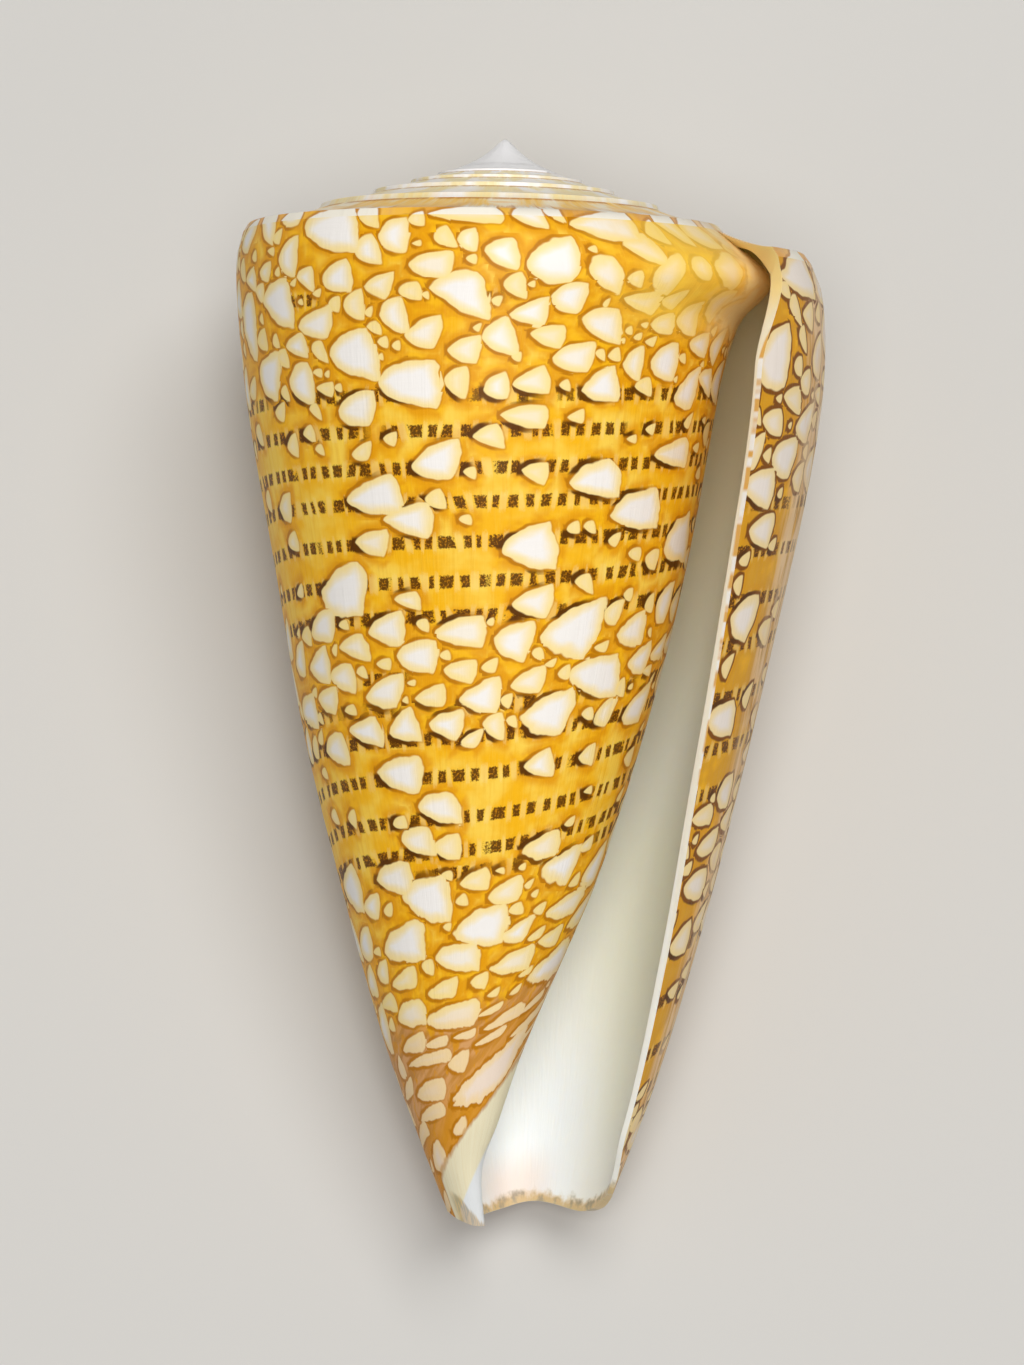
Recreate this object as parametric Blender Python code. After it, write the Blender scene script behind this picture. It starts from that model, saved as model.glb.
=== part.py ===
"""A cone shell that lies on its back with its long aperture up, on a small flat spot.

The shell is drawn in its own frame: x points to the lip's side, y up the coiling axis to the apex, and z
out of the side that holds the aperture. A depth is measured down the axis from the apex. An angle turns
round the axis from z through x, against the growth, so the lip is near 50 degrees and each whorl is
360 degrees older than the one outside it. Lengths are in millimetres until the mesh is made.
"""

import math

import bmesh
import bpy
from mathutils import Matrix, Vector

MM = 0.001

# How the shell coils.
LIP_ANGLE = 51.5  # where the outer lip ends
WHORL_RATIO = 1.40  # how much wider each whorl is than the one before
GROWTH = math.log(WHORL_RATIO) / (2 * math.pi)
WHORLS = 5
RIM_RADIUS = 17.9  # the shoulder's edge at the lip

# The spire: a low cone with a small sharp point on top.
SPIRE_SLOPE = 0.305
POINT_HEIGHT = 1.04
POINT_RADIUS = 0.89
TIP_BLUNTING = 0.35
SUTURE_STEP = 0.55  # how far below a whorl's edge the next whorl starts
RAMP_SAG = 0.22
SHOULDER_FADE = 1.4  # how quickly the sides fill out below the shoulder

# Outlines as (depth, distance from the axis), and the spiral's rate inside them as (depth, rate).
LIP_SIDE = [(0, 18.4), (5, 18.4), (13, 18.6), (19, 17.95), (26.5, 16.55), (35.5, 14.75), (44.5, 12.75),
            (53.5, 10.35), (60.2, 8.05), (62, 7.4)]
FAR_SIDE = [(0, 15.55), (4.5, 15.5), (10.5, 14.97), (16.3, 14.15), (25.2, 12.3), (34.1, 10.45), (42.9, 8.0),
            (51.8, 5.2), (58.4, 2.55), (62, 1.0)]
INNER_RATE = [(0, GROWTH), (5, GROWTH), (8, 0.02), (10.5, 0.05), (14, 0.072), (30, 0.105), (41, 0.178),
              (47, 0.28), (52, 0.43), (56, 0.62), (59, 0.9), (62, 1.05)]
COLUMELLA_RATE = 0.25  # the most that the spiral tightens deep inside the aperture

# The outer lip: its edge lags behind LIP_ANGLE at the shoulder's notch and towards the front end.
NOTCH_LAG = 20.5  # degrees, at the suture
SHOULDER_LAG = 9.5
NOTCH_HEIGHT = 7.0
COVERED_HEIGHT = 8.0
LAG_REACH = 110.0
LAG_RISE = 70.0
LIP_LAG = [(22, 0.0), (30, 1.3), (38, 2.6), (44, 4.7), (49, 6.9), (55, 11.2), (57, 14.5), (59, 27), (61, 38)]
LIP_THICKNESS = 0.5
WALL_THICKNESS = 1.4
WALL_BUILD_UP = 25.0  # degrees behind the lip in which most of the thickness is reached
END_THINNING = 0.4
ROOF_THICKNESS = 1.35
CAVITY_DEPTH = 202.5  # degrees that the aperture's hollow runs back from the lip

# The callus on the older whorl's side, at the top of the aperture.
CALLUS_HEIGHT = 1.1
CALLUS_ANGLE = 425.0
CALLUS_REACH = 42.0  # degrees
CALLUS_DEPTH = 7.6
CALLUS_SPREAD = 2.7

# The front end's edge, with its shallow notch, as (angle, depth).
END_DEPTH = [(50, 59.4), (85, 60.0), (105, 60.9), (125, 61.25), (170, 60.9), (205, 61.45), (235, 61.75),
             (275, 61.3), (310, 61.65), (350, 61.9), (620, 61.85)]

# Where it rests.
REST_ANGLE = 182.0
REST_DEPTH = 24.0
REST_CUT = 0.3  # how deep the flat spot is

# The mesh's grid.
COLUMNS = 48  # in a whorl
RAMP_PARTS = (0.35, 0.7, 0.95, 1.0)
SIDE_ROWS = 18
APEX_RING_RADII = (1.5, 0.9, 0.45)

SHELL_COLOUR = (0.83, 0.47, 0.10, 1.0)
SHELL_ROUGHNESS = 0.3

CAVITY_COLUMNS = round(CAVITY_DEPTH * COLUMNS / 360)
SUTURE_ROW = len(RAMP_PARTS) + 1
ROOF_ROW = SUTURE_ROW + 1
LAST_ROW = ROOF_ROW + SIDE_ROWS


def along(points, x):
    """The height at x of a smooth curve through the points, level beyond its ends."""
    if x <= points[0][0]:
        return points[0][1]
    if x >= points[-1][0]:
        return points[-1][1]
    k = max(i for i, point in enumerate(points) if point[0] <= x)

    def slope(i):
        a, b = points[max(i - 1, 0)], points[min(i + 1, len(points) - 1)]
        return (b[1] - a[1]) / (b[0] - a[0])

    (x0, y0), (x1, y1) = points[k], points[k + 1]
    width = x1 - x0
    t = (x - x0) / width
    return (
        y0 * (1 + 2 * t) * (1 - t) ** 2
        + y1 * t * t * (3 - 2 * t)
        + slope(k) * width * t * (1 - t) ** 2
        - slope(k + 1) * width * t * t * (1 - t)
    )


def eased(t):
    """0 before t is 0, 1 after t is 1, and smooth between."""
    t = min(max(t, 0.0), 1.0)
    return t * t * (3 - 2 * t)


def heading(angle):
    """The direction of an angle in a cross-section, as x + iz."""
    return complex(math.sin(math.radians(angle)), math.cos(math.radians(angle)))


def lean(rate):
    """Degrees between a spiral's outward normal and its radius."""
    return math.degrees(math.atan(rate))


def scale(angle):
    return math.exp(-GROWTH * math.radians(angle - LIP_ANGLE))


def spiral(angle, depth):
    """The point of the cross-section at that depth whose outer surface faces the angle.

    It is a logarithmic spiral whose rate changes at the far side and once more inside the aperture, with
    no step in its direction or its bend."""
    right, left = along(LIP_SIDE, depth), along(FAR_SIDE, depth)
    inner = along(INNER_RATE, depth)
    rate, start = GROWTH, 90.0
    reach = (right + left) / (1 + math.exp(-rate * math.pi)) * math.hypot(1, rate)
    centre = complex(right - reach / math.hypot(1, rate), 0)
    for next_start, next_rate in ((270.0, inner), (450.0, min(inner, COLUMELLA_RATE))):
        if angle <= next_start:
            break
        reach *= math.exp(-rate * math.radians(next_start - start))
        joint = centre + reach * heading(next_start - lean(rate))
        reach *= math.hypot(1, rate) / math.hypot(1, next_rate)
        rate, start = next_rate, next_start
        centre = joint - reach * heading(start - lean(rate))
    return centre + reach * math.exp(-rate * math.radians(angle - start)) * heading(angle - lean(rate))


def spire_depth(radius):
    """The depth below the apex at which the spire's outline is that wide."""
    radius = math.hypot(radius, TIP_BLUNTING) - TIP_BLUNTING
    return SPIRE_SLOPE * radius + POINT_HEIGHT * (1 - math.exp(-radius / POINT_RADIUS))


def rim(angle):
    """The shoulder's edge: its place in the cross-section, and its depth."""
    radius = RIM_RADIUS * scale(angle)
    return radius * heading(angle - lean(GROWTH)), spire_depth(radius)


def callus(angle, depth):
    """How far the callus swells out of the older whorl's side."""
    across, down = (angle - CALLUS_ANGLE) / CALLUS_REACH, (depth - CALLUS_DEPTH) / CALLUS_SPREAD
    return CALLUS_HEIGHT * max(0.0, 1 - across * across - down * down) ** 2


def side(angle, depth):
    """A point on a whorl's side, which starts at the shoulder's edge and fills out below it."""
    edge, top = rim(angle)
    fade = math.exp(-(depth - top) / (SHOULDER_FADE * scale(angle)))
    swell = callus(angle, depth) * heading(angle)
    return spiral(angle, depth) + (edge - spiral(angle, top)) * fade + swell


def place(section_point, depth):
    return Vector((section_point.real, -depth, section_point.imag))


def suture(angle):
    """Where a whorl starts, on the side of the older whorl beneath it."""
    older = angle + 360
    depth = rim(older)[1] + SUTURE_STEP * scale(older)
    return place(side(older, depth), depth)


def drop(row):
    """How far a row of the side is below the shoulder's edge, as a share of the way to the front end."""
    share = (row - ROOF_ROW) / SIDE_ROWS
    return share * (0.45 + 0.55 * share)


def row_depth(angle, row):
    """The depth of a row on a whorl's side."""
    top = rim(angle)[1]
    if row == SUTURE_ROW:
        return top + SUTURE_STEP * scale(angle)
    roof = top + (SUTURE_STEP + ROOF_THICKNESS) * scale(angle)
    return roof + (along(END_DEPTH, angle) - roof) * drop(row)


def lag(offset, row):
    """Degrees that a row's column is moved back at an offset from the lip, so that the first follows the lip's edge."""
    if row < SUTURE_ROW:
        across = RAMP_PARTS[row - 1] if row else 0.0
        at_lip = NOTCH_LAG + (SHOULDER_LAG - NOTCH_LAG) * across
        covered = NOTCH_LAG * across
    else:
        angle = LIP_ANGLE + offset
        depth = row_depth(angle, row)
        below = depth - rim(angle)[1]
        at_lip = SHOULDER_LAG * (1 - eased(below / NOTCH_HEIGHT)) + along(LIP_LAG, depth)
        covered = NOTCH_LAG * (1 - eased((below - SUTURE_STEP) / COVERED_HEIGHT))
    fading = max(0.0, 1 - offset / LAG_REACH) ** 2
    past_turn = offset - 360
    if past_turn < 0:
        return at_lip * fading + covered * eased(1 + past_turn / LAG_RISE)
    return covered * max(0.0, 1 - past_turn / LAG_REACH) ** 2


def column_angle(column, row):
    offset = column * 360 / COLUMNS
    return LIP_ANGLE + offset + lag(offset, row)


def outer_point(column, row):
    """A grid point of the outside, from the suture over the ramp and the shoulder to the front end."""
    angle = column_angle(column, row)
    if row >= SUTURE_ROW:
        depth = row_depth(angle, row)
        return place(side(angle, depth), depth)
    across = RAMP_PARTS[row - 1] if row else 0.0
    edge, top = rim(angle)
    point = suture(angle).lerp(place(edge, top), across)
    point.y -= RAMP_SAG * scale(angle) * 4 * across * (1 - across)
    return point


def wall(angle, depth):
    """The outer wall's thickness."""
    behind = angle - LIP_ANGLE - along(LIP_LAG, depth)
    built = LIP_THICKNESS + (WALL_THICKNESS - LIP_THICKNESS) * (1 - math.exp(-max(behind, 0) / WALL_BUILD_UP))
    return built * (1 - END_THINNING * eased((depth - 40) / 22))


def inner_point(column, row, roof_start):
    """A grid point of the hollow's outer face, or of its roof for the ramp's rows."""
    angle = column_angle(column, max(row, SUTURE_ROW))
    if row >= ROOF_ROW:
        depth = row_depth(angle, row)
        return place(side(angle, depth) - wall(angle, depth) * heading(angle), depth)
    depth = row_depth(angle, ROOF_ROW)
    corner = place(side(angle, depth) - wall(angle, depth) * heading(angle), depth)
    across = (row / SUTURE_ROW) * 0.9
    point = roof_start.lerp(corner, across)
    point.y += 0.5 * math.sin(math.pi * across) * scale(angle)
    return point


def make_outside(mesh):
    """Vertices of the outside as {(column, row): vertex}. A suture's vertex is the older whorl's too."""
    grid = {}
    last_column = WHORLS * COLUMNS
    for column in reversed(range(last_column + 1)):
        inside = column > COLUMNS + CAVITY_COLUMNS
        for row in range((SUTURE_ROW if inside else LAST_ROW) + 1):
            older = (column + COLUMNS, SUTURE_ROW)
            if row == 0 and older in grid:
                grid[column, row] = grid[older]
            else:
                grid[column, row] = mesh.verts.new(outer_point(column, row))
    start, end = grid[last_column, 0].co, grid[last_column - COLUMNS, 0].co
    for row in range(1, SUTURE_ROW):
        grid[last_column, row].co = start.lerp(end, row / SUTURE_ROW)
    return grid


def make_hollow(mesh, outside):
    """Vertices of the hollow's roof and outer face. The roof starts on the older whorl's side."""
    grid = {}
    for column in range(CAVITY_COLUMNS + 1):
        start = outside[column + COLUMNS, ROOF_ROW]
        grid[column, 0] = start
        for row in range(1, LAST_ROW + 1):
            grid[column, row] = mesh.verts.new(inner_point(column, row, start.co))
    return grid


def skin(mesh, grid, columns, rows):
    """Quads over part of a grid."""
    for column in columns:
        for row in rows:
            mesh.faces.new(
                (grid[column, row], grid[column + 1, row], grid[column + 1, row + 1], grid[column, row + 1])
            )


def close_apex(mesh, outside):
    """Round rings from the oldest whorl's start up to the tip."""
    last = WHORLS * COLUMNS
    loop = [outside[column, 0] for column in range(last - COLUMNS, last + 1)]
    step = [outside[last, row] for row in range(1, SUTURE_ROW)]
    settle = sum(vertex.co.y + spire_depth(math.hypot(vertex.co.x, vertex.co.z)) for vertex in loop) / len(loop)
    outermost = math.hypot(loop[0].co.x, loop[0].co.z)
    for radius in APEX_RING_RADII:
        height = settle * radius / outermost - spire_depth(radius)
        ring = []
        for k in range(COLUMNS):
            way = heading(LIP_ANGLE - lean(GROWTH) + (k + 0.5) * 360 / COLUMNS)
            ring.append(mesh.verts.new((radius * way.real, height, radius * way.imag)))
        for k in range(COLUMNS):
            mesh.faces.new((loop[k], loop[(k + 1) % len(loop)], ring[(k + 1) % COLUMNS], ring[k]))
        if step:
            chain = [loop[-1]] + step + [loop[0]]
            for a, b in zip(chain, chain[1:]):
                mesh.faces.new((a, b, ring[0]))
            step = []
        loop = ring
    tip = mesh.verts.new((0, 0, 0))
    for k, vertex in enumerate(loop):
        mesh.faces.new((vertex, loop[(k + 1) % len(loop)], tip))


def close_lip(mesh, outside, hollow):
    """The lip's edge, between the outside's first column and the hollow's."""
    for row in range(LAST_ROW):
        corners = (outside[0, row], outside[0, row + 1], hollow[0, row + 1], hollow[0, row])
        mesh.faces.new(corners)


def close_hollow(mesh, outside, hollow):
    """The wall at the hollow's far end."""
    older = COLUMNS + CAVITY_COLUMNS
    outer_chain = [hollow[CAVITY_COLUMNS, row] for row in range(LAST_ROW + 1)]
    inner_chain = [outside[older, row] for row in range(ROOF_ROW, LAST_ROW + 1)]
    for row in range(1, ROOF_ROW):
        mesh.faces.new((inner_chain[0], outer_chain[row], outer_chain[row + 1]))
    for k in range(len(inner_chain) - 1):
        mesh.faces.new(
            (inner_chain[k], outer_chain[ROOF_ROW + k], outer_chain[ROOF_ROW + k + 1], inner_chain[k + 1])
        )


def close_front_end(mesh, outside, hollow):
    """The rim round the canal, and the columella's end."""
    for column in range(CAVITY_COLUMNS):
        mesh.faces.new(
            (
                outside[column, LAST_ROW],
                outside[column + 1, LAST_ROW],
                hollow[column + 1, LAST_ROW],
                hollow[column, LAST_ROW],
            )
        )
    around = range(CAVITY_COLUMNS, CAVITY_COLUMNS + COLUMNS + 1)
    mesh.faces.new([outside[column, LAST_ROW] for column in around] + [hollow[CAVITY_COLUMNS, LAST_ROW]])


def seat():
    """The matrix that lays the shell down, with its resting point just under the origin."""
    nudge = 0.5
    foot = place(side(REST_ANGLE, REST_DEPTH), REST_DEPTH)
    down_axis = place(side(REST_ANGLE, REST_DEPTH + nudge), REST_DEPTH + nudge) - foot
    round_axis = place(side(REST_ANGLE + nudge, REST_DEPTH), REST_DEPTH) - foot
    up = down_axis.cross(round_axis).normalized()
    if up.dot(foot - place(0j, REST_DEPTH)) > 0:
        up.negate()
    apex_way = (Vector((0, 1, 0)) - up * up.y).normalized()
    turn = Matrix((apex_way.cross(up), apex_way, up)).to_4x4()
    return Matrix.Translation((0, 0, -REST_CUT)) @ turn @ Matrix.Translation(-foot)


def flatten_rest(mesh):
    """Cuts the flat spot that the shell rests on, at height 0."""
    everything = mesh.verts[:] + mesh.edges[:] + mesh.faces[:]
    cut = bmesh.ops.bisect_plane(
        mesh, geom=everything, dist=1e-5, plane_co=(0, 0, 0), plane_no=(0, 0, -1), clear_outer=True
    )
    edges = [item for item in cut["geom_cut"] if isinstance(item, bmesh.types.BMEdge)]
    bmesh.ops.contextual_create(mesh, geom=edges)


def shell_material():
    material = bpy.data.materials.new("shell")
    material.use_nodes = True
    shader = material.node_tree.nodes["Principled BSDF"]
    shader.inputs["Base Color"].default_value = SHELL_COLOUR
    shader.inputs["Roughness"].default_value = SHELL_ROUGHNESS
    shader.inputs["Metallic"].default_value = 0.0
    return material


def make_shell():
    mesh = bmesh.new()
    outside = make_outside(mesh)
    hollow = make_hollow(mesh, outside)
    skin(mesh, outside, range(COLUMNS), range(LAST_ROW))
    skin(mesh, outside, range(COLUMNS, WHORLS * COLUMNS), range(SUTURE_ROW))
    skin(mesh, outside, range(COLUMNS, COLUMNS + CAVITY_COLUMNS), range(ROOF_ROW, LAST_ROW))
    skin(mesh, hollow, range(CAVITY_COLUMNS), range(LAST_ROW))
    close_apex(mesh, outside)
    close_lip(mesh, outside, hollow)
    close_hollow(mesh, outside, hollow)
    close_front_end(mesh, outside, hollow)
    bmesh.ops.transform(mesh, matrix=seat(), verts=mesh.verts)
    bmesh.ops.recalc_face_normals(mesh, faces=mesh.faces)
    flatten_rest(mesh)
    bmesh.ops.scale(mesh, vec=(MM, MM, MM), verts=mesh.verts)
    bmesh.ops.triangulate(mesh, faces=mesh.faces)
    bmesh.ops.recalc_face_normals(mesh, faces=mesh.faces)
    data = bpy.data.meshes.new("shell")
    mesh.to_mesh(data)
    mesh.free()
    data.shade_smooth()
    data.set_sharp_from_angle(angle=math.radians(45))
    data.materials.append(shell_material())
    shell = bpy.data.objects.new("shell", data)
    bpy.context.scene.collection.objects.link(shell)


def main():
    for old in list(bpy.data.objects):
        bpy.data.objects.remove(old)
    make_shell()


main()
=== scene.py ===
"""A golden cone shell with white tent-shaped patches, lying on its back with its aperture up.

The shape is the solid's own, on a finer grid. The markings are colour only: every face of the outside knows
its place relative to the two nearest tents and to the nearest dashed line, and the material draws them.
Lengths are in millimetres until the mesh is made.
"""

import math
import random

import bpy
import numpy as np
from mathutils import Matrix, Vector


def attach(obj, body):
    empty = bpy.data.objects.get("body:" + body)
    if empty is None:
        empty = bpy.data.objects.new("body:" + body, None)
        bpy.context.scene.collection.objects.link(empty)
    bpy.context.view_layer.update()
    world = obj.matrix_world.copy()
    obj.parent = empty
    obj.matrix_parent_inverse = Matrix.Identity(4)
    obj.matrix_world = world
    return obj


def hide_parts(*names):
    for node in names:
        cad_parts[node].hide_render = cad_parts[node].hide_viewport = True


MM = 0.001

# How the shell coils.
LIP_ANGLE = 51.5  # where the outer lip ends
WHORL_RATIO = 1.40  # how much wider each whorl is than the one before
GROWTH = math.log(WHORL_RATIO) / (2 * math.pi)
WHORLS = 5
RIM_RADIUS = 17.9  # the shoulder's edge at the lip

# The spire: a low cone with a small sharp point on top.
SPIRE_SLOPE = 0.305
POINT_HEIGHT = 1.04
POINT_RADIUS = 0.89
TIP_BLUNTING = 0.35
SUTURE_STEP = 0.55  # how far below a whorl's edge the next whorl starts
RAMP_SAG = 0.22
SHOULDER_FADE = 1.4  # how quickly the sides fill out below the shoulder

# Outlines as (depth, distance from the axis), and the spiral's rate inside them as (depth, rate).
LIP_SIDE = [(0, 18.4), (5, 18.4), (13, 18.6), (19, 17.95), (26.5, 16.55), (35.5, 14.75), (44.5, 12.75),
            (53.5, 10.35), (60.2, 8.05), (62, 7.4)]
FAR_SIDE = [(0, 15.55), (4.5, 15.5), (10.5, 14.97), (16.3, 14.15), (25.2, 12.3), (34.1, 10.45), (42.9, 8.0),
            (51.8, 5.2), (58.4, 2.55), (62, 1.0)]
INNER_RATE = [(0, GROWTH), (5, GROWTH), (8, 0.02), (10.5, 0.05), (14, 0.072), (30, 0.105), (41, 0.178),
              (47, 0.28), (52, 0.43), (56, 0.62), (59, 0.9), (62, 1.05)]
COLUMELLA_RATE = 0.25  # the most that the spiral tightens deep inside the aperture

# The outer lip: its edge lags behind LIP_ANGLE at the shoulder's notch and towards the front end.
NOTCH_LAG = 20.5  # degrees, at the suture
SHOULDER_LAG = 9.5
NOTCH_HEIGHT = 7.0
COVERED_HEIGHT = 8.0
LAG_REACH = 110.0
LAG_RISE = 70.0
LIP_LAG = [(22, 0.0), (30, 1.3), (38, 2.6), (44, 4.7), (49, 6.9), (55, 11.2), (57, 14.5), (59, 27), (61, 38)]
LIP_THICKNESS = 0.5
WALL_THICKNESS = 1.4
WALL_BUILD_UP = 25.0  # degrees behind the lip in which most of the thickness is reached
END_THINNING = 0.4
ROOF_THICKNESS = 1.35
ROOF_SPAN = 0.9  # how far the roof's rows go towards the hollow's outer corner
ROOF_ARCH = 0.5
CAVITY_DEPTH = 202.5  # degrees that the aperture's hollow runs back from the lip

# The callus on the older whorl's side, at the top of the aperture.
CALLUS_HEIGHT = 1.1
CALLUS_ANGLE = 425.0
CALLUS_REACH = 42.0  # degrees
CALLUS_DEPTH = 7.6
CALLUS_SPREAD = 2.7

# The front end's edge, with its shallow notch, as (angle, depth).
END_DEPTH = [(50, 59.4), (85, 60.0), (105, 60.9), (125, 61.25), (170, 60.9), (205, 61.45), (235, 61.75),
             (275, 61.3), (310, 61.65), (350, 61.9), (620, 61.85)]

# Where it rests.
REST_ANGLE = 182.0
REST_DEPTH = 24.0
REST_CUT = 0.3  # how deep the flat spot is

# The mesh's grid, finer than the solid's.
COLUMNS = 240  # in a whorl
RAMP_PARTS = (0.12, 0.27, 0.42, 0.57, 0.72, 0.85, 0.95, 1.0)
SIDE_ROWS = 128
APEX_RING_RADII = (2.1, 1.7, 1.3, 1.0, 0.75, 0.5, 0.3, 0.15)

CAVITY_COLUMNS = round(CAVITY_DEPTH * COLUMNS / 360)
SUTURE_ROW = len(RAMP_PARTS) + 1
ROOF_ROW = SUTURE_ROW + 1
LAST_ROW = ROOF_ROW + SIDE_ROWS


def along(points, x):
    """The height at x of a smooth curve through the points, level beyond its ends."""
    if x <= points[0][0]:
        return points[0][1]
    if x >= points[-1][0]:
        return points[-1][1]
    k = max(i for i, point in enumerate(points) if point[0] <= x)

    def slope(i):
        a, b = points[max(i - 1, 0)], points[min(i + 1, len(points) - 1)]
        return (b[1] - a[1]) / (b[0] - a[0])

    (x0, y0), (x1, y1) = points[k], points[k + 1]
    width = x1 - x0
    t = (x - x0) / width
    return (
        y0 * (1 + 2 * t) * (1 - t) ** 2
        + y1 * t * t * (3 - 2 * t)
        + slope(k) * width * t * (1 - t) ** 2
        - slope(k + 1) * width * t * t * (1 - t)
    )


def eased(t):
    """0 before t is 0, 1 after t is 1, and smooth between."""
    t = min(max(t, 0.0), 1.0)
    return t * t * (3 - 2 * t)


def heading(angle):
    """The direction of an angle in a cross-section, as x + iz."""
    return complex(math.sin(math.radians(angle)), math.cos(math.radians(angle)))


def lean(rate):
    """Degrees between a spiral's outward normal and its radius."""
    return math.degrees(math.atan(rate))


def scale(angle):
    return math.exp(-GROWTH * math.radians(angle - LIP_ANGLE))


def spiral(angle, depth):
    """The point of the cross-section at that depth whose outer surface faces the angle.

    It is a logarithmic spiral whose rate changes at the far side and once more inside the aperture, with
    no step in its direction or its bend."""
    right, left = along(LIP_SIDE, depth), along(FAR_SIDE, depth)
    inner = along(INNER_RATE, depth)
    rate, start = GROWTH, 90.0
    reach = (right + left) / (1 + math.exp(-rate * math.pi)) * math.hypot(1, rate)
    centre = complex(right - reach / math.hypot(1, rate), 0)
    for next_start, next_rate in ((270.0, inner), (450.0, min(inner, COLUMELLA_RATE))):
        if angle <= next_start:
            break
        reach *= math.exp(-rate * math.radians(next_start - start))
        joint = centre + reach * heading(next_start - lean(rate))
        reach *= math.hypot(1, rate) / math.hypot(1, next_rate)
        rate, start = next_rate, next_start
        centre = joint - reach * heading(start - lean(rate))
    return centre + reach * math.exp(-rate * math.radians(angle - start)) * heading(angle - lean(rate))


def spire_depth(radius):
    """The depth below the apex at which the spire's outline is that wide."""
    radius = math.hypot(radius, TIP_BLUNTING) - TIP_BLUNTING
    return SPIRE_SLOPE * radius + POINT_HEIGHT * (1 - math.exp(-radius / POINT_RADIUS))


def rim(angle):
    """The shoulder's edge: its place in the cross-section, and its depth."""
    radius = RIM_RADIUS * scale(angle)
    return radius * heading(angle - lean(GROWTH)), spire_depth(radius)


def callus(angle, depth):
    """How far the callus swells out of the older whorl's side."""
    across, down = (angle - CALLUS_ANGLE) / CALLUS_REACH, (depth - CALLUS_DEPTH) / CALLUS_SPREAD
    return CALLUS_HEIGHT * max(0.0, 1 - across * across - down * down) ** 2


def side(angle, depth):
    """A point on a whorl's side, which starts at the shoulder's edge and fills out below it."""
    edge, top = rim(angle)
    fade = math.exp(-(depth - top) / (SHOULDER_FADE * scale(angle)))
    swell = callus(angle, depth) * heading(angle)
    return spiral(angle, depth) + (edge - spiral(angle, top)) * fade + swell


def place(section_point, depth):
    return Vector((section_point.real, -depth, section_point.imag))


def suture(angle):
    """Where a whorl starts, on the side of the older whorl beneath it."""
    older = angle + 360
    depth = rim(older)[1] + SUTURE_STEP * scale(older)
    return place(side(older, depth), depth)


def drop(row):
    """How far a row of the side is below the shoulder's edge, as a share of the way to the front end."""
    share = (row - ROOF_ROW) / SIDE_ROWS
    return share * (0.8 + 0.2 * share)


def row_depth(angle, row):
    """The depth of a row on a whorl's side."""
    top = rim(angle)[1]
    if row == SUTURE_ROW:
        return top + SUTURE_STEP * scale(angle)
    roof = top + (SUTURE_STEP + ROOF_THICKNESS) * scale(angle)
    return roof + (along(END_DEPTH, angle) - roof) * drop(row)


def lag(offset, row):
    """Degrees that a row's column is moved back at an offset from the lip, so the first follows its edge."""
    if row < SUTURE_ROW:
        across = RAMP_PARTS[row - 1] if row else 0.0
        at_lip = NOTCH_LAG + (SHOULDER_LAG - NOTCH_LAG) * across
        covered = NOTCH_LAG * across
    else:
        angle = LIP_ANGLE + offset
        depth = row_depth(angle, row)
        below = depth - rim(angle)[1]
        at_lip = SHOULDER_LAG * (1 - eased(below / NOTCH_HEIGHT)) + along(LIP_LAG, depth)
        covered = NOTCH_LAG * (1 - eased((below - SUTURE_STEP) / COVERED_HEIGHT))
    fading = max(0.0, 1 - offset / LAG_REACH) ** 2
    past_turn = offset - 360
    if past_turn < 0:
        return at_lip * fading + covered * eased(1 + past_turn / LAG_RISE)
    return covered * max(0.0, 1 - past_turn / LAG_REACH) ** 2


def column_angle(column, row):
    offset = column * 360 / COLUMNS
    return LIP_ANGLE + offset + lag(offset, row)


def outer_point(column, row):
    """A grid point of the outside, from the suture over the ramp and the shoulder to the front end."""
    angle = column_angle(column, row)
    if row >= SUTURE_ROW:
        depth = row_depth(angle, row)
        return place(side(angle, depth), depth)
    across = RAMP_PARTS[row - 1] if row else 0.0
    edge, top = rim(angle)
    point = suture(angle).lerp(place(edge, top), across)
    point.y -= RAMP_SAG * scale(angle) * 4 * across * (1 - across)
    return point


def wall(angle, depth):
    """The outer wall's thickness."""
    behind = angle - LIP_ANGLE - along(LIP_LAG, depth)
    growing = 1 - math.exp(-max(behind, 0) / WALL_BUILD_UP)
    built = LIP_THICKNESS + (WALL_THICKNESS - LIP_THICKNESS) * growing
    return built * (1 - END_THINNING * eased((depth - 40) / 22))


def inner_point(column, row, roof_start):
    """A grid point of the hollow's outer face, or of its roof for the ramp's rows."""
    angle = column_angle(column, max(row, SUTURE_ROW))
    if row >= ROOF_ROW:
        depth = row_depth(angle, row)
        return place(side(angle, depth) - wall(angle, depth) * heading(angle), depth)
    depth = row_depth(angle, ROOF_ROW)
    corner = place(side(angle, depth) - wall(angle, depth) * heading(angle), depth)
    across = (row / SUTURE_ROW) * ROOF_SPAN
    point = roof_start.lerp(corner, across)
    point.y += ROOF_ARCH * math.sin(math.pi * across) * scale(angle)
    return point


def seat():
    """The matrix that lays the shell down, with its resting point just under the origin."""
    nudge = 0.5
    foot = place(side(REST_ANGLE, REST_DEPTH), REST_DEPTH)
    down_axis = place(side(REST_ANGLE, REST_DEPTH + nudge), REST_DEPTH + nudge) - foot
    round_axis = place(side(REST_ANGLE + nudge, REST_DEPTH), REST_DEPTH) - foot
    up = down_axis.cross(round_axis).normalized()
    if up.dot(foot - place(0j, REST_DEPTH)) > 0:
        up.negate()
    apex_way = (Vector((0, 1, 0)) - up * up.y).normalized()
    turn = Matrix((apex_way.cross(up), apex_way, up)).to_4x4()
    return Matrix.Translation((0, 0, -REST_CUT)) @ turn @ Matrix.Translation(-foot)


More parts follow.
